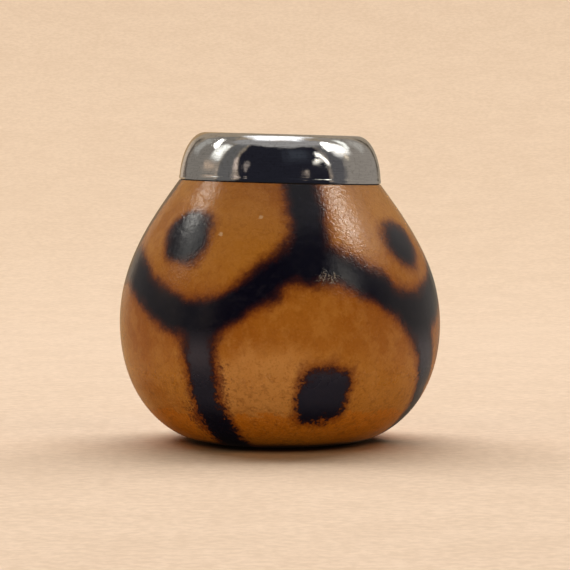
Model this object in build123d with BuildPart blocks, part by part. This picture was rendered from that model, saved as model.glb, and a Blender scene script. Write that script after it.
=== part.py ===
from build123d import *
import os
from math import asin, cos, degrees, radians, sin, tan

# A drinking gourd: a dried calabash cut open at the neck, with a pressed sheet-metal rim glued over the cut.
# Millimetres, +Z up, X to the viewer's right, Y away from the viewer.
# The origin is the centre of the flat base, on the surface that the gourd stands on.

# Gourd body
belly_diameter = 85.0
belly_height = 31.2        # height of the widest section
base_diameter = 38.0       # flat that the gourd stands on
base_roundness = 10.0      # how far the flat runs on before the side turns up
lower_fullness = 20.7      # how far the side stays upright below the belly
upper_fullness = 16.6      # how far the side stays upright above the belly
neck_height = 68.4         # height of the ledge that the rim stands over
neck_slope = 36.4          # degrees that the neck leans in from upright
neck_fullness = 9.6        # straight run of the side just below the ledge
wall = 4.0                 # shell thickness
floor = 5.0                # shell thickness under the cavity
mouth_tilt = 1.5           # degrees by which the neck and rim lean to +X
scar_diameter = 9.0        # blossom scar in the middle of the base
scar_depth = 0.6
sections = 10              # steps between the cross-sections that the skin is drawn through

# Metal rim, measured along its own axis from the gourd's ledge
rim_diameter = 53.2
rim_height = 12.7          # ledge to crest
roll_width = 3.0           # crest to the upright wall of the mouth
roll_depth = 3.6           # crest down to the top of that wall
collar_drop = 12.0         # crest to the lower edge of the collar inside the mouth
sheet = 0.7
bead_height = 1.1          # rolled edge at the foot of the skirt
bead_bulge = 0.25

# Fit of the rim on the neck
lip_rise = 4.2             # ledge to the cut lip of the gourd
joint_line = 0.3           # open line between the skirt and the ledge
seat_clearance = 0.15      # skirt to neck
collar_clearance = 0.95    # collar to the cut lip
glue_recess = 0.35         # glue stands this far back inside the open line
glue_reach = 3.0           # glue runs down this far between collar and lip

# Worked out from the sizes above
belly_radius = belly_diameter / 2
base_radius = base_diameter / 2
rim_radius = rim_diameter / 2
slope = radians(neck_slope)
neck_radius = rim_radius - sheet - seat_clearance
neck_bore = rim_radius - wall / cos(slope)
lip_radius = neck_radius - lip_rise * tan(slope)
lip_bore = lip_radius - wall
mouth_radius = lip_bore - collar_clearance - sheet
crest_radius = mouth_radius + roll_width


def gourd_outline(inset, foot):
    # Half outline in X and Z from the base to the ledge, moved in from the skin by inset
    share_out = (belly_radius - inset - base_radius) / (belly_radius - base_radius)
    share_up = (belly_height - foot) / belly_height
    top_radius = rim_radius - inset / cos(slope)
    with BuildLine(Plane.XZ) as outline:
        Bezier(
            (base_radius, foot),
            (base_radius + base_roundness * share_out, foot),
            (belly_radius - inset, belly_height - lower_fullness * share_up),
            (belly_radius - inset, belly_height),
        )
        Bezier(
            (belly_radius - inset, belly_height),
            (belly_radius - inset, belly_height + upper_fullness),
            (top_radius + neck_fullness * sin(slope), neck_height - neck_fullness * cos(slope)),
            (top_radius, neck_height),
        )
    return outline.wire()


def level(height):
    # Cross-section plane: level at the base, leaning to +X towards the neck
    lean = radians(mouth_tilt) * (height / neck_height) ** 2
    return Plane((0, 0, height), x_dir=(cos(lean), 0, -sin(lean)), z_dir=(sin(lean), 0, cos(lean)))


def stations(inset, foot):
    outline = gourd_outline(inset, foot)
    return [outline @ (step / sections) for step in range(sections + 1)]


mouth = level(neck_height)
mouth_axis = Axis(mouth.origin, mouth.z_dir)
mouth_section = Plane(mouth.origin, x_dir=mouth.x_dir, z_dir=-mouth.y_dir)

# Gourd shell: skin and cavity drawn through round sections, with the trimmed neck on top
with BuildPart() as gourd_shell:
    for point in stations(0, 0):
        with BuildSketch(level(point.Z)):
            Circle(point.X)
    loft()
    for point in stations(wall, floor):
        with BuildSketch(level(point.Z)):
            Circle(point.X)
    loft(mode=Mode.SUBTRACT)
    with BuildSketch(mouth_section):
        with BuildLine():
            Polyline(
                (neck_bore, 0),
                (neck_radius, 0),
                (lip_radius, lip_rise),
                (lip_bore, lip_rise),
                close=True,
            )
        make_face()
    revolve(axis=mouth_axis)
    with BuildSketch(Plane.XZ):
        with BuildLine():
            scar = ThreePointArc((-scar_diameter / 2, 0), (0, scar_depth), (scar_diameter / 2, 0))
            Line(scar @ 1, scar @ 0)
        make_face()
        split(bisect_by=Plane.YZ)
    revolve(axis=Axis.Z, mode=Mode.SUBTRACT)
gourd_shell.part.label = "gourd_shell"

# Metal rim: one pressed sheet with a beaded skirt, a rounded shoulder and a collar rolled into the mouth
skirt_foot = joint_line
bead_top = skirt_foot + bead_height
bead_angle = degrees(asin(bead_top / rim_height))
foot_angle = degrees(asin(skirt_foot / (rim_height - sheet)))
collar_top = rim_height - roll_depth
collar_foot = rim_height - collar_drop


def rim_underside():
    # Inner face of the sheet over the channel, from the collar to the foot of the skirt
    roll_back = EllipticalCenterArc((crest_radius, collar_top), roll_width - sheet, roll_depth - sheet, 90)
    shoulder_back = EllipticalCenterArc(
        (crest_radius, 0),
        rim_radius - sheet - crest_radius,
        rim_height - sheet,
        foot_angle,
        arc_size=90 - foot_angle,
    )
    return roll_back, shoulder_back


with BuildPart() as metal_rim:
    with BuildSketch(mouth_section):
        with BuildLine():
            shoulder = EllipticalCenterArc(
                (crest_radius, 0),
                rim_radius - crest_radius,
                rim_height,
                bead_angle,
                arc_size=90 - bead_angle,
            )
            roll = EllipticalCenterArc((crest_radius, collar_top), roll_width, roll_depth, 90)
            collar = Line(roll @ 1, (mouth_radius, collar_foot))
            collar_edge = Line(collar @ 1, (mouth_radius + sheet, collar_foot))
            collar_back = Line(collar_edge @ 1, (mouth_radius + sheet, collar_top))
            roll_back, shoulder_back = rim_underside()
            foot = Line(shoulder_back @ 0, (rim_radius, skirt_foot))
            bead = Bezier(
                foot @ 1, (rim_radius + 2 * bead_bulge, skirt_foot + bead_height / 2), shoulder @ 0
            )
        make_face()
    revolve(axis=mouth_axis)
metal_rim.part.label = "metal_rim"

# Glue: the ring that fills the rim's channel and grips both sides of the cut lip
glue_foot = lip_rise - glue_reach
glue_bore = lip_bore + (neck_bore - lip_bore) * glue_reach / lip_rise
with BuildPart() as rim_glue:
    with BuildSketch(mouth_section):
        with BuildLine():
            fill_roll, fill_shoulder = rim_underside()
            Polyline(
                fill_roll @ 1,
                (mouth_radius + sheet, glue_foot),
                (glue_bore, glue_foot),
                (lip_bore, lip_rise),
                (lip_radius, lip_rise),
                (neck_radius, 0),
                (rim_radius - glue_recess, 0),
                (rim_radius - glue_recess, skirt_foot),
                fill_shoulder @ 0,
            )
        make_face()
    revolve(axis=mouth_axis)
rim_glue.part.label = "rim_glue"

os.makedirs("parts", exist_ok=True)
for piece in (gourd_shell, metal_rim, rim_glue):
    export_step(piece.part, f"parts/{piece.part.label}.step")
    box = piece.part.bounding_box()
    print(piece.part.label, "volume", round(piece.part.volume), "top", round(box.max.Z, 2), "size", box.size)
print("mouth radius", round(mouth_radius, 3), "collar wall", round(collar_top - collar_foot, 3))
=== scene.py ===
import math

import bmesh
import bpy
import numpy as np
from mathutils import Matrix, Vector, noise
from mathutils.geometry import interpolate_bezier


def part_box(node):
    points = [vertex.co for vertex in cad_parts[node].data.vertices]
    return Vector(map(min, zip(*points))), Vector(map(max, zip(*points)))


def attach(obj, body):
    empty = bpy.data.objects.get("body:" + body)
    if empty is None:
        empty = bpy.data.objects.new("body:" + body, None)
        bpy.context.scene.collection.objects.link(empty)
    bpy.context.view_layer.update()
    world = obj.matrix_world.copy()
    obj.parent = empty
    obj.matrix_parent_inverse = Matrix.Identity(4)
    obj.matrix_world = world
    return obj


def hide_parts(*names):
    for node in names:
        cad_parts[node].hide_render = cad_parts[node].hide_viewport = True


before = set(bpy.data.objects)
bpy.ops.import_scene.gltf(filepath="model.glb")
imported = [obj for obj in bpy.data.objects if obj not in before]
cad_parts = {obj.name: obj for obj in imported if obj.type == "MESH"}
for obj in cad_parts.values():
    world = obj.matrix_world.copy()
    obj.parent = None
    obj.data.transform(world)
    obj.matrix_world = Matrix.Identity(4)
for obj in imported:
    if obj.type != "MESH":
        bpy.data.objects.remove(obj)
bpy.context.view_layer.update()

mm = 0.001
weld = 1e-6  # metres within which vertices are merged
sharpAngle = math.radians(50)  # edges that turn further than this stay crisp
mouthLean = math.radians(1.5)  # the neck and rim lean down to the right
neckHeight = 68.4  # mm, the ledge that the rim stands over


class Wire:  # one output socket, so that shader sums read as sums
    def __init__(self, finish, socket):
        self.finish = finish
        self.socket = socket

    def calc(self, operation, first, second):
        return self.finish.node("ShaderNodeMath", {"operation": operation}, {0: first, 1: second})

    def __add__(self, other):
        return self.calc("ADD", self, other)

    def __radd__(self, other):
        return self.calc("ADD", other, self)

    def __sub__(self, other):
        return self.calc("SUBTRACT", self, other)

    def __rsub__(self, other):
        return self.calc("SUBTRACT", other, self)

    def __mul__(self, other):
        return self.calc("MULTIPLY", self, other)

    def __rmul__(self, other):
        return self.calc("MULTIPLY", other, self)

    def __truediv__(self, other):
        return self.calc("DIVIDE", self, other)

    def __rtruediv__(self, other):
        return self.calc("DIVIDE", other, self)

    def __abs__(self):
        return self.calc("ABSOLUTE", self, 0)


class Finish:  # one node material around a Principled shader
    def __init__(self, name):
        self.material = bpy.data.materials.new(name)
        self.material.use_nodes = True
        self.tree = self.material.node_tree
        self.shader = next(n for n in self.tree.nodes if n.type == "BSDF_PRINCIPLED")
        self.place = self.node("ShaderNodeTexCoord", out="Object")

    def node(self, kind, settings=None, sockets=None, out=0):
        made = self.tree.nodes.new(kind)
        for key, value in (settings or {}).items():
            setattr(made, key, value)
        self.plug(made, sockets or {})
        return Wire(self, made.outputs[out])

    def plug(self, made, sockets):
        for key, value in sockets.items():
            if isinstance(value, Wire):
                self.tree.links.new(value.socket, made.inputs[key])
            else:
                made.inputs[key].default_value = value

    def set(self, **sockets):  # the shader's own sockets, with spaces left out of their names
        names = {s.name.replace(" ", ""): s.name for s in self.shader.inputs}
        self.plug(self.shader, {names[key]: value for key, value in sockets.items()})

    # noise with features about size mm across
    def mottle(self, size, detail=2.0, coarse=0.5, warp=0.0, place=None):
        sockets = {
            "Vector": place or self.place,
            "Scale": 1 / (size * mm),
            "Detail": detail,
            "Roughness": coarse,
            "Distortion": warp,
        }
        return self.node("ShaderNodeTexNoise", {}, sockets)

    def ease(self, value, low, high, start=0.0, end=1.0):  # smooth step from start at low to end at high
        sockets = {"Value": value, "From Min": low, "From Max": high, "To Min": start, "To Max": end}
        return self.node("ShaderNodeMapRange", {"interpolation_type": "SMOOTHSTEP"}, sockets)

    def away(self, place, point=(0, 0, 0)):  # distance from a point, in metres
        ends = {0: place, 1: point}
        return self.node("ShaderNodeVectorMath", {"operation": "DISTANCE"}, ends, out="Value")

    def coats(self, colour, *layers):  # colours laid over each other, each by its share
        for share, tone in layers:
            sockets = {0: share, 6: colour, 7: tone}  # a colour mix uses sockets 6 and 7
            colour = self.node("ShaderNodeMix", {"data_type": "RGBA"}, sockets, out=2)
        return colour

    def attribute(self, name):
        return self.node("ShaderNodeAttribute", {"attribute_name": name}, out="Fac")

    def bump(self, height, strength, depth):
        sockets = {"Height": height, "Strength": strength, "Distance": depth * mm}
        return self.node("ShaderNodeBump", {}, sockets)


def ragged(field, *grains):  # a field in mm, made ragged by noises that each reach so many mm
    for grain, reach in grains:
        field = field + (grain - 0.5) * reach
    return field


def paint(*screen):  # screen colour, 0 to 255, as a shader colour by the sRGB curve
    shares = [value / 255 for value in screen]
    linear = [((s + 0.055) / 1.055) ** 2.4 if s > 0.04045 else s / 12.92 for s in shares]
    return (*linear, 1.0)


def curve(points, count):  # points on one Bezier span in X and Z, ends included
    spans = [Vector((x, 0, z)) for x, z in points]
    return [(p.x, p.z) for p in interpolate_bezier(*spans, count)]


def arc(centre, across, tall, start, end, count):  # points on an ellipse, angles in degrees
    angles = [math.radians(start + (end - start) * k / (count - 1)) for k in range(count)]
    return [(centre[0] + across * math.cos(a), centre[1] + tall * math.sin(a)) for a in angles]


def lean(point):  # the gourd's sections tip over gradually, and all of the rim by the full lean
    height = point.z / mm
    base = min(height, neckHeight)
    turn = Matrix.Rotation(mouthLean * (base / neckHeight) ** 2, 3, "Y")
    return Vector((0, 0, base * mm)) + turn @ Vector((point.x, point.y, (height - base) * mm))


def spun(outline, turns):  # an outline of radius and height in mm, lathed about Z and welded
    bm = bmesh.new()
    order = bm.verts.layers.int.new("order")  # each vertex keeps its place in the outline
    verts = [bm.verts.new((radius * mm, 0, height * mm)) for radius, height in outline]
    for place, vert in enumerate(verts):
        vert[order] = place
    edges = [bm.edges.new(pair) for pair in zip(verts, verts[1:])]
    bmesh.ops.spin(
        bm,
        geom=verts + edges,
        cent=(0, 0, 0),
        axis=(0, 0, 1),
        angle=math.tau,
        steps=turns,
        use_merge=True,
    )
    bmesh.ops.remove_doubles(bm, verts=bm.verts, dist=weld)
    return bm


def faceOut(bm):  # faces point outwards and shade smoothly
    bmesh.ops.recalc_face_normals(bm, faces=bm.faces)
    for face in bm.faces:
        face.smooth = True


def addMesh(bm, name, finishes):
    mesh = bpy.data.meshes.new(name)
    bm.to_mesh(mesh)
    bm.free()
    for finish in finishes:
        mesh.materials.append(finish.material)
    piece = bpy.data.objects.new(name, mesh)
    bpy.context.scene.collection.objects.link(piece)
    return piece


def finishPiece(bm, name, finishes, node):  # a finished shape leans, and stands for a CAD node
    for vert in bm.verts:
        vert.co = lean(vert.co)
    piece = addMesh(bm, name, finishes)
    piece.data.set_sharp_from_angle(angle=sharpAngle)
    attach(piece, "root")
    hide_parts(node)


# Burnt pattern: bands that branch like honeycomb, with a spot in each cell
burnt = {
    # azimuth from the front in degrees, place up the side in mm, half width in mm
    "upperKnots": ((11.5, 61.5, 5.2), (102, 63, 5.0), (194, 62, 5.2), (274, 60, 4.6)),
    "lowerKnots": ((60, 46.5, 4.9), (148, 47, 4.8), (233, 46, 4.7), (331, 45.6, 4.2)),
    # arms join each lower knot to the upper knots beside it
    "armWaist": 4.0,  # half width half way along
    "armReach": 0.33,  # handle length as a share of the span
    "armDrop": 1.0,  # mm, how far the first handle lies below the upper knot
    "armRise": 2.5,  # mm, how far the second handle lies above the lower knot
    # an upper band climbs from each upper knot to the rim
    "upperEnds": (11.5, 104, 193, 275),  # azimuth at the rim
    "upperPlaces": (70, 78, 88),  # mm up the side, of the two handles and the end
    "upperWidths": (4.7, 4.0),  # half widths at its middle and end
    # a lower band falls from each lower knot to the base
    "lowerEnds": (90, 150, 236, 337),  # azimuth at the base
    "lowerKnee": 10.0,  # mm, how far the first handle lies below the knot
    "lowerSlant": 8,  # degrees that the band still turns after its second handle
    "lowerPlaces": (14, -4),  # mm up the side, of the second handle and the end
    # half widths at its knot, middle and base
    "lowerWidths": ((4.4, 3.9, 4.0), (4.6, 5.0, 5.0), (4.5, 4.8, 5.0), (3.5, 4.3, 4.9)),
    # spots: azimuth, place up the side, half width, half height, squareness
    "spots": (
        (-41.3, 67.3, 7.2, 6.9, 2.2),
        (59, 66.2, 6.3, 6.0, 2.2),
        (16.8, 26.6, 7.0, 8.2, 3.0),
        (149, 67, 7.0, 6.6, 2.2),
        (234, 66.5, 6.8, 6.8, 2.2),
        (112, 26, 7.4, 7.2, 2.8),
        (191, 25, 7.4, 7.6, 2.8),
        (262, 26, 7.2, 7.4, 2.8),
    ),
    # paler worn patches, as spots
    "worn": ((-6, 29, 12, 9.5, 2.4), (128, 34, 9, 6, 2.2), (214, 52, 8, 5, 2.2), (-75, 20, 7, 5, 2.2)),
    # rusty singed places beside the lower bands, as spots
    "singes": (
        (-23.5, 29, 2.2, 6.5, 2.2),
        (-37, 19, 2.4, 4.5, 2.2),
        (158, 30, 2.6, 6, 2.2),
        (228, 20, 2.4, 5, 2.2),
    ),
    "blisters": ((18, 57, 2.6, 1.7, 2.2),),
    "nicks": ((-4.84, -32.02, 59.97), (-14.99, -31.92, 55.7)),  # mm, in the root frame
    "samples": 48,  # points along each band
    "softness": 1.1,  # mm over which marks melt together
    "farthest": 40,  # softnesses from a mark past which its field stays level
}


def burnStrokes():  # each band as four Bezier points of azimuth and place, with its half widths
    strokes = []
    upperKnots = burnt["upperKnots"]
    firstPlace, secondPlace, crown = burnt["upperPlaces"]
    lastPlace, foot = burnt["lowerPlaces"]
    for k, (upper, lower) in enumerate(zip(upperKnots, burnt["lowerKnots"])):
        azimuth, place, width = upperKnots[(k + 1) % len(upperKnots)]
        lap = 360 if azimuth < lower[0] else 0
        for top in (upper, (azimuth + lap, place, width)):  # an arm each side of the lower knot
            span = (lower[0] - top[0]) * burnt["armReach"]
            leaving = (top[0] + span, top[1] - burnt["armDrop"])
            arriving = (lower[0] - span, lower[1] + burnt["armRise"])
            widths = (top[2], burnt["armWaist"], lower[2])
            strokes.append(([top[:2], leaving, arriving, lower[:2]], widths))
        end = burnt["upperEnds"][k]
        climb = [upper[:2], (upper[0], firstPlace), (end, secondPlace), (end, crown)]
        strokes.append((climb, (upper[2], *burnt["upperWidths"])))
        end = burnt["lowerEnds"][k]
        knee = (lower[0], lower[1] - burnt["lowerKnee"])
        fall = [lower[:2], knee, (end - burnt["lowerSlant"], lastPlace), (end, foot)]
        strokes.append((fall, burnt["lowerWidths"][k]))
    return strokes


def spotFields(points, side, spots):  # signed distance in mm into each spot, along the skin
    azimuths = np.arctan2(points[:, 0], -points[:, 1])
    radii = np.hypot(points[:, 0], points[:, 1])
    places = np.interp(points[:, 2], side["height"], side["along"])
    fields = []
    for azimuth, place, wide, tall, power in spots:
        turn = (azimuths - math.radians(azimuth) + math.pi) % math.tau - math.pi
        across = np.abs(turn * radii / wide) ** power + np.abs((places - place) / tall) ** power
        fields.append((1 - across ** (1 / power)) * min(wide, tall))
    return fields


def bandFields(points, side):  # signed distance in mm into each burnt band
    fields = []
    for handles, widths in burnStrokes():
        route = np.array(curve(handles, burnt["samples"]))
        azimuths = np.radians(route[:, 0])
        reach = np.interp(route[:, 1], side["along"], side["radius"])
        rise = np.interp(route[:, 1], side["along"], side["height"])
        centres = np.stack([reach * np.sin(azimuths), -reach * np.cos(azimuths), rise], -1)
        halfWidths = np.interp(np.linspace(0, 1, len(route)), (0, 0.5, 1), widths)
        depths = [w - np.linalg.norm(points - c, axis=1) for c, w in zip(centres, halfWidths)]
        fields.append(np.max(depths, axis=0))
    return fields


def melt(fields):  # one field from many, rounded where they meet
    stack = np.clip(np.array(fields) / burnt["softness"], -burnt["farthest"], burnt["farthest"])
    return np.log(np.exp(stack).sum(0)) * burnt["softness"]


# Gourd shell
shellLow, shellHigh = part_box("gourd_shell")
gourd = {
    "bellyRadius": (shellHigh.x - shellLow.x) / 2 / mm,
    "bellyHeight": 31.2,
    "baseRadius": 19.0,
    "baseRoundness": 10.0,
    "lowerFullness": 20.7,
    "upperFullness": 16.6,
    "neckRadius": 26.6,
    "neckSlope": 36.4,  # degrees in from upright
    "neckFullness": 9.6,
    "wall": 4.0,
    "floor": 5.0,
    "ledge": 0.85,
    "lipRise": 4.2,
    "scarRadius": 4.5,
    "scarDepth": 0.6,
    "turns": 288,
    "rings": 48,  # on each half of the skin
    "scarRings": 8,
    "flatRings": 10,
    "floorRings": 8,
    "lump": 0.16,  # mm, how far the skin dips
    "lumpSize": 17.0,  # mm
    "lumpFade": 6,  # mm from the base and the ledge
}


def sideOutline(inset, foot, rings):  # from the base to the ledge, moved in from the skin by inset
    slope = math.radians(gourd["neckSlope"])
    base = gourd["baseRadius"]
    middle = gourd["bellyHeight"]
    belly = gourd["bellyRadius"] - inset
    shareOut = (belly - base) / (gourd["bellyRadius"] - base)
    shareUp = (middle - foot) / middle
    top = gourd["neckRadius"] - inset / math.cos(slope)
    run = gourd["neckFullness"]
    lower = [
        (base, foot),
        (base + gourd["baseRoundness"] * shareOut, foot),
        (belly, middle - gourd["lowerFullness"] * shareUp),
        (belly, middle),
    ]
    upper = [
        (belly, middle),
        (belly, middle + gourd["upperFullness"]),
        (top + run * math.sin(slope), neckHeight - run * math.cos(slope)),
        (top, neckHeight),
    ]
    return curve(lower, rings) + curve(upper, rings)[1:]


def shellOutline():  # in three runs: the base, the skin, and the lip with the cavity
    base = gourd["baseRadius"]
    scarRadius = gourd["scarRadius"]
    scar = arc((0, 0), scarRadius, gourd["scarDepth"], 90, 0, gourd["scarRings"])
    scar[0] = (0, gourd["scarDepth"])  # its pole lies on the axis
    steps = gourd["flatRings"]
    flat = [(scarRadius + (base - scarRadius) * k / steps, 0) for k in range(1, steps)]
    skin = sideOutline(0, 0, gourd["rings"])
    neck = gourd["neckRadius"] - gourd["ledge"]
    lip = neck - gourd["lipRise"] * math.tan(math.radians(gourd["neckSlope"]))
    top = neckHeight + gourd["lipRise"]
    lipRun = [(neck, neckHeight), (lip, top), (lip - gourd["wall"], top)]
    cavity = sideOutline(gourd["wall"], gourd["floor"], gourd["rings"] // 2)
    steps = gourd["floorRings"]
    floor = [(base * k / steps, gourd["floor"]) for k in reversed(range(steps))]
    return scar + flat, skin, lipRun + cavity[::-1] + floor


def markSkin(bm, skin):  # the pattern's fields on the vertices, laid out on the true round shape
    outline = np.array(skin)
    stretch = np.hypot(*np.diff(outline, axis=0).T)
    along = np.concatenate([[0], np.cumsum(stretch)])
    side = {"along": along, "radius": outline[:, 0], "height": outline[:, 1]}
    points = np.array([vert.co for vert in bm.verts]) / mm
    marks = {
        "burn": melt(bandFields(points, side) + spotFields(points, side, burnt["spots"])),
        "worn": melt(spotFields(points, side, burnt["worn"])),
        "singe": melt(spotFields(points, side, burnt["singes"])),
        "blister": melt(spotFields(points, side, burnt["blisters"])),
        "side": np.interp(points[:, 2], side["height"], along),
    }
    for name, values in marks.items():
        layer = bm.verts.layers.float.new(name)
        for vert, value in zip(bm.verts, values):
            vert[layer] = value


def dipSkin(bm, firstRing, lastRing):  # shallow dips that fade out towards the base and the ledge
    order = bm.verts.layers.int["order"]
    fade = gourd["lumpFade"]
    for vert in bm.verts:
        if firstRing < vert[order] < lastRing:
            height = vert.co.z / mm
            keep = min(1, height / fade) * min(1, (neckHeight - height) / fade)
            dip = (noise.noise(vert.co / (gourd["lumpSize"] * mm)) - 1) / 2 * gourd["lump"] * keep * mm
            outward = Vector((vert.co.x, vert.co.y, 0)).normalized()
            vert.co += outward * dip


def makeGourd(finishes):
    base, skin, inside = shellOutline()
    bm = spun(base + skin + inside, gourd["turns"])
    faceOut(bm)
    order = bm.verts.layers.int["order"]
    lastRing = len(base) + len(skin) - 1
    for face in bm.faces:
        face.material_index = 0 if max(vert[order] for vert in face.verts) <= lastRing else 1
    markSkin(bm, skin)
    dipSkin(bm, len(base), lastRing)
    finishPiece(bm, "gourd", finishes, "gourd_shell")


# Finish of the skin: amber rind, the burn over it, and a clear varnish
skinLook = {
    # noises: size in mm, detail, roughness, warp
    "grains": {
        "cloud": (26, 3),
        "drift": (11, 2),
        "patch": (4.5, 4, 0.6),
        "fleck": (1.6, 5, 0.65, 0.6),
        "worm": (1.15, 1.5, 0.5, 0.4),
        "pore": (0.6, 3, 0.6),
    },
    # places in mm up the side
    "crisp": (20, 42),  # below, the burns flaked at their edges, and above they are soft
    "belly": 46,  # deeper colour round the belly
    "bellyReach": (4, 14),
    "tide": (19.6, 21),  # deeper colour below a ragged line
    "grime": (4, 8.6),  # painted shade, darkest at the foot
    "charLow": (18, 26),  # black below this
    "charGrey": (29, 37),  # greyer below the belly
    "charHigh": (37, 45),  # black again
    "nickReach": (0.35, 0.7),  # mm from the middle of a nick
    "gloss": (0.14, 0.2),  # roughness of the varnish, from patch to patch
    "grainStrength": 0.62,
    "grainDepth": 0.135,  # mm
}
skinTones = {
    "rind": paint(170, 105, 28),
    "cloud": paint(184, 123, 46),
    "belly": paint(146, 80, 18),
    "patch": paint(192, 133, 60),
    "worn": paint(212, 156, 90),
    "tide": paint(198, 116, 16),
    "fleck": paint(132, 74, 16),
    "pore": paint(112, 60, 18),
    "speck": paint(214, 164, 100),
    "grime": paint(18, 8, 3),
    "nick": paint(222, 190, 150),
    "singe": paint(104, 54, 34),
    "soot": paint(34, 18, 20),
    "rust": paint(112, 50, 16),
    "scorch": paint(56, 27, 26),
    "charFoot": paint(18, 18, 34),
    "charLow": paint(40, 41, 58),
    "charGrey": paint(64, 62, 76),
    "charHigh": paint(11, 11, 28),
    "ash": paint(40, 40, 52),
    # painted glint on the blistered varnish
    "bubble": paint(176, 168, 158),
}


def rindColour(skin, grain, side, crisp):  # cloudy and mottled, with fine pores
    patch, fleck, pore = grain["patch"], grain["fleck"], grain["pore"]
    belly = skin.ease(abs(side - skinLook["belly"]), *skinLook["bellyReach"], 0.42, 0)
    worn = skin.ease(ragged(skin.attribute("worn"), (patch, 6), (fleck, 3)), -4, 3)
    tide = skin.ease(ragged(side, (patch, 9), (fleck, 6)), *skinLook["tide"], 1, 0)
    # painted shade: the skin darkens towards the foot, where the floor shades it
    grime = skin.ease(ragged(side, (patch, 3)), *skinLook["grime"], 0.95, 0)
    colour = skin.coats(
        skinTones["rind"],
        (skin.ease(grain["cloud"], 0.38, 0.62), skinTones["cloud"]),
        (belly, skinTones["belly"]),
        (skin.ease(patch, 0.44, 0.62) * 0.4, skinTones["patch"]),
        (worn * 0.55, skinTones["worn"]),
        (tide * 0.7, skinTones["tide"]),
        (skin.ease(fleck, 0.5, 0.62) * (0.2 + 0.2 * crisp), skinTones["fleck"]),
        (skin.ease(pore, 0.55, 0.66) * (0.16 + 0.2 * crisp), skinTones["pore"]),
        (skin.ease(pore, 0.34, 0.44, 1, 0) * (0.1 + 0.16 * crisp), skinTones["speck"]),
        (grime, skinTones["grime"]),
    )
    for nick in burnt["nicks"]:
        away = ragged(skin.away(skin.place, Vector(nick) * mm) / mm, (pore, 1.2))
        colour = skin.coats(colour, (skin.ease(away, *skinLook["nickReach"], 0.7, 0), skinTones["nick"]))
    return colour


def burntColour(skin, grain, side, crisp, rind):  # rust, purple brown and char, and the share of char
    patch, fleck, pore = grain["patch"], grain["fleck"], grain["pore"]
    singe = skin.ease(ragged(skin.attribute("singe"), (fleck, 8), (pore, 4)), -1.5, 1.5)
    burn = skin.attribute("burn") - 0.5
    soft = ragged(burn, (grain["drift"], 5), (patch, 3), (fleck, 1.6), (pore, 1.2))
    edge = soft + (fleck - 0.5) * 5 * crisp + (pore - 0.5) * 2.4 * crisp
    sharp = edge * (1 + 1.5 * crisp)
    char = skin.coats(
        skinTones["charFoot"],
        (skin.ease(side, *skinLook["charLow"]), skinTones["charLow"]),
        (skin.ease(side, *skinLook["charGrey"]), skinTones["charGrey"]),
        (skin.ease(side, *skinLook["charHigh"]), skinTones["charHigh"]),
        (skin.ease(fleck, 0.5, 0.66) * 0.3, skinTones["ash"]),
    )
    charred = skin.ease(sharp, -0.6, 1.8)
    colour = skin.coats(
        rind,
        (singe * 0.7, skinTones["singe"]),
        (singe * skin.ease(pore, 0.54, 0.62) * 0.65, skinTones["soot"]),
        (skin.ease(soft, crisp - 3.8, -0.6) * 0.75, skinTones["rust"]),
        (skin.ease(sharp, -2.2, 0.3), skinTones["scorch"]),
        (charred, char),
    )
    return colour, charred


def gourdSkin():
    skin = Finish("gourdSkin")
    grain = {name: skin.mottle(*settings) for name, settings in skinLook["grains"].items()}
    side = skin.attribute("side")
    crisp = skin.ease(side, *skinLook["crisp"], 1, 0)
    rind = rindColour(skin, grain, side, crisp)
    colour, charred = burntColour(skin, grain, side, crisp, rind)
    patch, fleck, pore = grain["patch"], grain["fleck"], grain["pore"]
    blister = skin.ease(ragged(skin.attribute("blister"), (fleck, 6)), -0.5, 1)
    paintedGlints = blister * skin.ease(pore, 0.5, 0.58) * 0.6  # painted glints: pale specks in the blisters that stand in for light catching the bubbled varnish
    worm = abs(grain["worm"] - 0.5)  # leathery grain, which shows in the gloss
    height = worm * (1.8 - 1.1 * charred + blister * 3) + fleck * 0.6 + pore * (0.35 + blister)
    skin.set(
        BaseColor=skin.coats(colour, (paintedGlints, skinTones["bubble"])),
        Roughness=skin.ease(patch, 0.35, 0.65, *skinLook["gloss"]) + 0.2 * crisp - 0.1 * blister,
        SpecularIORLevel=0.5,
        Normal=skin.bump(height, skinLook["grainStrength"], skinLook["grainDepth"]),
    )
    return skin


# Finish of the scraped inside and the sawn lip
fleshTones = {
    "dry": paint(176, 138, 88),
    "pale": paint(202, 170, 118),
    "fibre": paint(128, 88, 48),
}


def gourdFlesh():
    flesh = Finish("gourdFlesh")
    fibre = flesh.mottle(1.2, 5, 0.65)
    cloud = flesh.mottle(14, 3)
    colour = flesh.coats(
        fleshTones["dry"],
        (flesh.ease(cloud, 0.3, 0.7), fleshTones["pale"]),
        (flesh.ease(fibre, 0.5, 0.75) * 0.5, fleshTones["fibre"]),
    )
    flesh.set(BaseColor=colour, Roughness=0.85, Normal=flesh.bump(fibre, 0.6, 0.3))
    return flesh


# Metal rim, measured from the ledge
rim = {
    "radius": 26.6,
    "height": 12.7,
    "crest": 20.0,
    "mouth": 17.0,
    "rollDepth": 3.6,
    "collarDrop": 12.0,
    "sheet": 0.7,
    "foot": 0.3,
    "backFoot": 1.4,  # degrees up the shoulder's back where the skirt ends
    "beadHeight": 1.1,
    "beadBulge": 0.07,
    "turns": 288,
    "beadRings": 10,
    "shoulderRings": 40,
    "rollRings": 20,
    "collarRings": 6,
    "rollBackRings": 12,
    "shoulderBackRings": 20,
}
rimTones = {
    "bright": paint(226, 226, 227),
    "line": paint(190, 190, 192),
    "scuff": paint(165, 163, 159),
}


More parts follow.
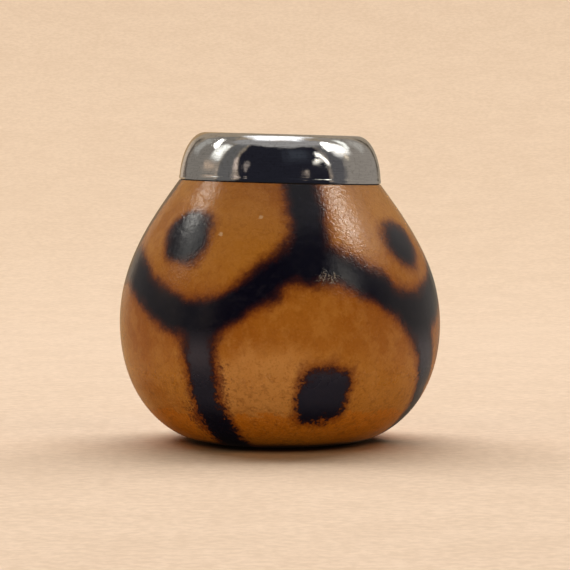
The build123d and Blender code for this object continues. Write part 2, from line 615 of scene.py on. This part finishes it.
def rimOutline():  # once round the sheet, up from the skirt's foot and back to it
    radius, height, sheet = rim["radius"], rim["height"], rim["sheet"]
    crest, mouth, foot = rim["crest"], rim["mouth"], rim["foot"]
    across = radius - crest
    beadAngle = math.degrees(math.asin((foot + rim["beadHeight"]) / height))
    shoulder = arc((crest, 0), across, height, beadAngle, 90, rim["shoulderRings"])
    bulge = radius + rim["beadBulge"] * 4 / 3  # a Bezier goes three quarters of the way to its handles
    beadHandles = [
        (radius, foot),
        (bulge, foot + rim["beadHeight"] * 0.25),
        (bulge, foot + rim["beadHeight"] * 0.75),
        shoulder[0],
    ]
    bead = curve(beadHandles, rim["beadRings"])
    rollTop = height - rim["rollDepth"]
    roll = arc((crest, rollTop), crest - mouth, rim["rollDepth"], 90, 180, rim["rollRings"])
    collarFoot = height - rim["collarDrop"]
    steps = rim["collarRings"]
    collar = [(mouth, rollTop + (collarFoot - rollTop) * k / steps) for k in range(1, steps + 1)]
    back = mouth + sheet
    collarBack = [(back, collarFoot), (back, rollTop)]
    rollBack = arc((crest, rollTop), crest - back, rim["rollDepth"] - sheet, 180, 90, rim["rollBackRings"])
    shoulderBack = arc(
        (crest, 0),
        across - sheet,
        height - sheet,
        90,
        rim["backFoot"],
        rim["shoulderBackRings"],
    )
    outline = bead + shoulder[1:] + roll[1:] + collar + collarBack + rollBack[1:] + shoulderBack[1:]
    return [(out, up + neckHeight) for out, up in outline]


def makeRim(finish):
    bm = spun(rimOutline(), rim["turns"])
    openEdges = [edge for edge in bm.edges if edge.is_boundary]
    bmesh.ops.bridge_loops(bm, edges=openEdges)  # closes the foot of the skirt
    faceOut(bm)
    finishPiece(bm, "rim", [finish], "metal_rim")


def rimMetal():
    metal = Finish("rimMetal")
    dent = metal.mottle(7, 2)
    scuff = metal.mottle(0.8, 4, 0.7)
    lathe = metal.node("ShaderNodeMapping", {}, {"Vector": metal.place, "Scale": (0.08, 0.08, 1)})
    line = metal.mottle(0.3, 3, 0.6, place=lathe)  # polishing lines run round the rim
    haze = metal.ease(metal.mottle(5, 4, 0.6), 0.45, 0.65)
    colour = metal.coats(
        rimTones["bright"],
        (metal.ease(line, 0.42, 0.62) * 0.3, rimTones["line"]),
        (metal.ease(scuff, 0.52, 0.66) * 0.35, rimTones["scuff"]),
    )
    metal.set(
        BaseColor=colour,
        Metallic=1.0,
        Roughness=0.05 + 0.05 * haze + metal.ease(scuff, 0.5, 0.7, 0, 0.06),
        Normal=metal.bump(dent + line * 0.05 + scuff * 0.06, 0.5, 0.35),
    )
    return metal


# Glue, which keeps its CAD shape
glueTones = {"dark": paint(22, 18, 15), "pale": paint(44, 36, 30)}


def glueFinish():
    glue = Finish("setGlue")
    lumps = glue.mottle(1.5, 3)
    glue.set(
        BaseColor=glue.coats(glueTones["dark"], (lumps, glueTones["pale"])),
        Roughness=glue.ease(lumps, 0.3, 0.7, 0.5, 0.75),
        Normal=glue.bump(lumps, 0.4, 0.2),
    )
    return glue


makeGourd([gourdSkin(), gourdFlesh()])
print("gourd made")
makeRim(rimMetal())
print("rim made")
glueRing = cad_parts["rim_glue"]
glueRing.data.materials.clear()
glueRing.data.materials.append(glueFinish().material)
print("glue dressed")

# Studio, in metres: a pale round sweep, broad soft lights, and a glowing dome that only reflections see
studio = {
    "floorRadius": 0.5,
    "bendRadius": 2.4,
    "bendSteps": 24,
    "sweepTop": 2.6,
    "sweepTurns": 96,
    "paper": paint(231, 204, 176),
    "paperFar": paint(221, 194, 165),  # painted shade: the sheet darkens farther off, to even out the light that falls on the sweep
    "paperReach": (0.2, 1.0),
    "paperFleck": paint(196, 166, 136),
    "paperFlecks": ((3, 0.3), (24, 0.16)),  # size in mm and strength of the paper's mottling
    "mark": paint(24, 12, 6),  # painted contact shadow on the floor under the base, a little longer to the front
    "markReach": (0.019, 0.033),
    "markShift": (0, 0.008, 0),
    "markStretch": (1.2, 1, 1),
    # soft lights: place, aim, width, height, power, colour
    "lights": {
        "backLight": ((0, 4.2, 5.8), (0, 0, 0), 12.0, 4.5, 1000.0, (0.97, 1, 1.05)),
        "frontLeft": ((-3.3, -2.6, 4.4), (0, 0, 0), 3.0, 2.0, 30.0, (1, 0.75, 0.45)),
        "frontRight": ((3.3, -2.6, 4.4), (0, 0, 0), 3.0, 2.0, 30.0, (1, 0.75, 0.45)),
        "leftFill": ((-3.0, -2.6, 0.13), (0, 0, 0.04), 2.4, 0.16, 40.0, (1, 0.84, 0.62)),
        "rightFill": ((3.0, -2.6, 0.13), (0, 0, 0.04), 2.4, 0.16, 40.0, (1, 0.84, 0.62)),
    },
    "domeRadius": 1.9,
    "domeDetail": 5,
    "domeTone": (0.58, 0.46, 0.35, 1),  # the paper behind
    # patches of the dome: azimuth from the front, height, half width, half height and soft edge in degrees,
    # then how far it slants round for each degree up, and its glow
    "patches": {
        "table": (0, -50, 200, 48, 3, 0, (0.012, 0.007, 0.004, 1)),
        "backWall": (0, 46, 200, 28, 5, 0, (0.37, 0.30, 0.22, 1)),
        "rightBack": (157, 10, 19, 18, 4, 0, (0.33, 0.27, 0.20, 1)),
        "leftBack": (-172, 9, 12, 13, 4, 0, (0.42, 0.28, 0.15, 1)),
        "leftFloor": (-156, -9, 15, 9, 3, 0, (0.5, 0.35, 0.2, 1)),
        "rightFloor": (156, -15, 15, 8, 3, 0, (0.42, 0.3, 0.2, 1)),
        "leftWall": (-110, 20, 30, 42, 3, 0, (0.24, 0.215, 0.185, 1)),
        "rightWall": (113, 20, 36, 42, 3, 0, (0.31, 0.275, 0.235, 1)),
        "leftGap": (-143, 16, 3, 14, 2.5, -0.2, (0.10, 0.08, 0.065, 1)),
        "rightGap": (154, 16, 3, 13, 2.5, 0.2, (0.08, 0.065, 0.05, 1)),
        "leftPanel": (-129, 31, 8, 10, 3, 0, (0.42, 0.40, 0.36, 1)),
        "rightPanel": (131, 32, 9, 8, 4, 0, (0.46, 0.43, 0.38, 1)),
        "leftWarm": (-92, 17, 9, 4, 4, 0, (0.55, 0.42, 0.31, 1)),
        "leftFold": (-66, 20, 11, 40, 3, 0, (0.14, 0.134, 0.128, 1)),
        "rightFold": (72, 18, 11, 40, 4, 0, (0.11, 0.105, 0.108, 1)),
        "frontRoof": (0, 68, 100, 12, 3, 0, (0.36, 0.343, 0.326, 1)),
        "darkRoom": (4, -16, 55, 74, 2, 0, (0.017, 0.017, 0.024, 1)),
        "blueHaze": (22, 42, 14, 9, 8, 0, (0.045, 0.05, 0.062, 1)),
        "leftLamp": (-87, 37, 7, 11, 5, 0, (1.5, 1.48, 1.35, 1)),
        "leftLampBack": (-110, 45, 5, 5.5, 3, -1.3, (11.5, 11.2, 10.2, 1)),
        "rightLamp": (91, 43, 13, 11, 6, 0, (2.0, 1.92, 1.76, 1)),
        "rightLampTop": (86, 51, 6, 7, 3, 1.0, (18.0, 17.4, 15.9, 1)),
        "rightLampBack": (117, 44, 6, 8, 3, 1.2, (1.4, 1.4, 1.28, 1)),
        "rightTip": (92, 28, 2.5, 3, 2, 0, (1.0, 0.85, 0.65, 1)),
        "leftGlint": (-54, 24, 2.5, 8, 2, 0, (0.75, 0.6, 0.5, 1)),
        "leftGlintSmall": (-40, 22, 1.5, 4.5, 1.5, 0, (0.5, 0.42, 0.36, 1)),
        "rightGlint": (56, 32, 2, 9, 2, -0.5, (4.0, 3.8, 3.4, 1)),
        "rightGlintArm": (47, 28, 4, 1.5, 1.5, 0, (3.0, 2.8, 2.4, 1)),
        "rightGlintSmall": (31, 13, 1.5, 3, 1.5, 0, (0.55, 0.45, 0.36, 1)),
    },
    # the lamp overhead: X, Y, half width, half depth and soft edge as shares of its height, slant and glow
    "topLamp": (-0.02, 0.20, 0.25, 0.32, 0.09, 0, (1.7, 1.7, 1.7, 1)),
    "topLampLowest": 0.01,  # the least rise of a ray that can meet it
    "roomTone": (0.012, 0.009, 0.007, 1),
}


def addStage(bm, name, finish):
    piece = addMesh(bm, name, [finish])
    return piece


def sweepPaper():
    paper = Finish("sweepPaper")
    # painted shade, darker farther from the middle of the floor
    farShade = paper.ease(paper.away(paper.place), *studio["paperReach"])
    colour = paper.coats(studio["paper"], (farShade, studio["paperFar"]))
    for size, share in studio["paperFlecks"]:
        flecks = paper.ease(paper.mottle(size, 4, 0.7), 0.36, 0.64) * share
        colour = paper.coats(colour, (flecks, studio["paperFleck"]))
    # painted contact shadow on the floor round the base, shifted a little to the front
    shifted = {"Vector": paper.place, "Location": studio["markShift"], "Scale": studio["markStretch"]}
    shadowCentre = paper.node("ShaderNodeMapping", {}, shifted)
    mark = paper.ease(paper.away(shadowCentre), *studio["markReach"], 0.95, 0)
    colour = paper.coats(colour, (mark, studio["mark"]))
    paper.set(BaseColor=colour, Roughness=0.9, SpecularIORLevel=0.1)
    return paper


def makeSweep(paper):
    flat, bend = studio["floorRadius"], studio["bendRadius"]
    climb = arc((flat, bend), bend, bend, -90, 0, studio["bendSteps"])
    outlines = {
        "floor": [(0, 0), climb[0]],
        "backdrop": climb + [(flat + bend, studio["sweepTop"])],
    }
    for name, outline in outlines.items():
        bm = spun([(radius / mm, height / mm) for radius, height in outline], studio["sweepTurns"])
        faceOut(bm)
        sheet = addStage(bm, name, paper)
        sheet.visible_glossy = False  # the dome has its own tone for the paper
        sheet.visible_diffuse = name == "floor"  # only the floor near the gourd throws light back
        sheet.visible_shadow = name == "floor"  # the lights stand outside the sweep


def patchShare(dome, across, up, halfWide, halfTall, soft, slant):  # 1 inside the patch and 0 outside
    if slant:
        across = across - up * slant
    wide = dome.ease(abs(across) - halfWide, -soft, soft, 1, 0)
    tall = dome.ease(abs(up) - halfTall, -soft, soft, 1, 0)
    return wide * tall


def domeGlow():
    dome = Finish("domeGlow")
    ray = dome.node("ShaderNodeVectorMath", {"operation": "NORMALIZE"}, {0: dome.place})
    x, y, z = (dome.node("ShaderNodeSeparateXYZ", {}, {0: ray}, out=axis) for axis in "XYZ")
    turn = x.calc("ARCTAN2", x, 0 - y) * math.degrees(1)
    rise = z.calc("ARCSINE", z, 0) * math.degrees(1)
    layers = []
    for azimuth, height, *edges, glow in studio["patches"].values():
        layers.append((patchShare(dome, turn - azimuth, rise - height, *edges), glow))
    aside, back, *edges, glow = studio["topLamp"]
    above = z.calc("MAXIMUM", z, studio["topLampLowest"])
    layers.append((patchShare(dome, x / above - aside, y / above - back, *edges), glow))
    dome.set(
        BaseColor=(0, 0, 0, 1),
        SpecularIORLevel=0.0,
        EmissionColor=dome.coats(studio["domeTone"], *layers),
        EmissionStrength=1.0,
    )
    return dome


def makeDome(finish):
    bm = bmesh.new()
    bmesh.ops.create_icosphere(bm, subdivisions=studio["domeDetail"], radius=studio["domeRadius"])
    dome = addStage(bm, "dome", finish)
    dome.visible_camera = False
    dome.visible_diffuse = False
    dome.visible_shadow = False


def makeLight(name, place, aim, wide, tall, power, colour):
    light = bpy.data.lights.new(name, "AREA")
    light.shape = "RECTANGLE"
    light.size = wide
    light.size_y = tall
    light.energy = power
    light.color = colour
    lamp = bpy.data.objects.new(name, light)
    lamp.location = place
    lamp.rotation_euler = (Vector(aim) - Vector(place)).to_track_quat("-Z", "Y").to_euler()
    lamp.visible_glossy = False  # reflections see the dome instead
    bpy.context.scene.collection.objects.link(lamp)


makeSweep(sweepPaper())
makeDome(domeGlow())
for name, light in studio["lights"].items():
    makeLight(name, *light)

world = bpy.data.worlds.new("room")
world.use_nodes = True
world.node_tree.nodes["Background"].inputs["Color"].default_value = studio["roomTone"]
bpy.context.scene.world = world
bpy.context.scene.view_settings.view_transform = "Standard"
print("studio lit")

# Camera: the photo's view
view = {
    "distance": 800,  # mm
    "eyeHeight": 81.1,  # mm
    "focal": 3024,  # this and the next three in the photo's pixels
    "frame": 570,
    "horizon": 134,  # down from the top
    "axis": 280,  # the gourd's middle, from the left
    "sensor": 36,  # mm
}


def makeCamera():
    middle = view["frame"] / 2
    pitch = math.atan((middle - view["horizon"]) / view["focal"])
    yaw = math.atan((middle - view["axis"]) / view["focal"])
    data = bpy.data.cameras.new("photoView")
    data.sensor_width = view["sensor"]
    data.lens = view["focal"] / view["frame"] * view["sensor"]
    eye = bpy.data.objects.new("photoView", data)
    eye.location = (0, -view["distance"] * mm, view["eyeHeight"] * mm)
    gaze = Vector((math.sin(yaw) * math.cos(pitch), math.cos(yaw) * math.cos(pitch), -math.sin(pitch)))
    eye.rotation_euler = gaze.to_track_quat("-Z", "Y").to_euler()
    bpy.context.scene.collection.objects.link(eye)
    bpy.context.scene.camera = eye


makeCamera()
print("camera set")
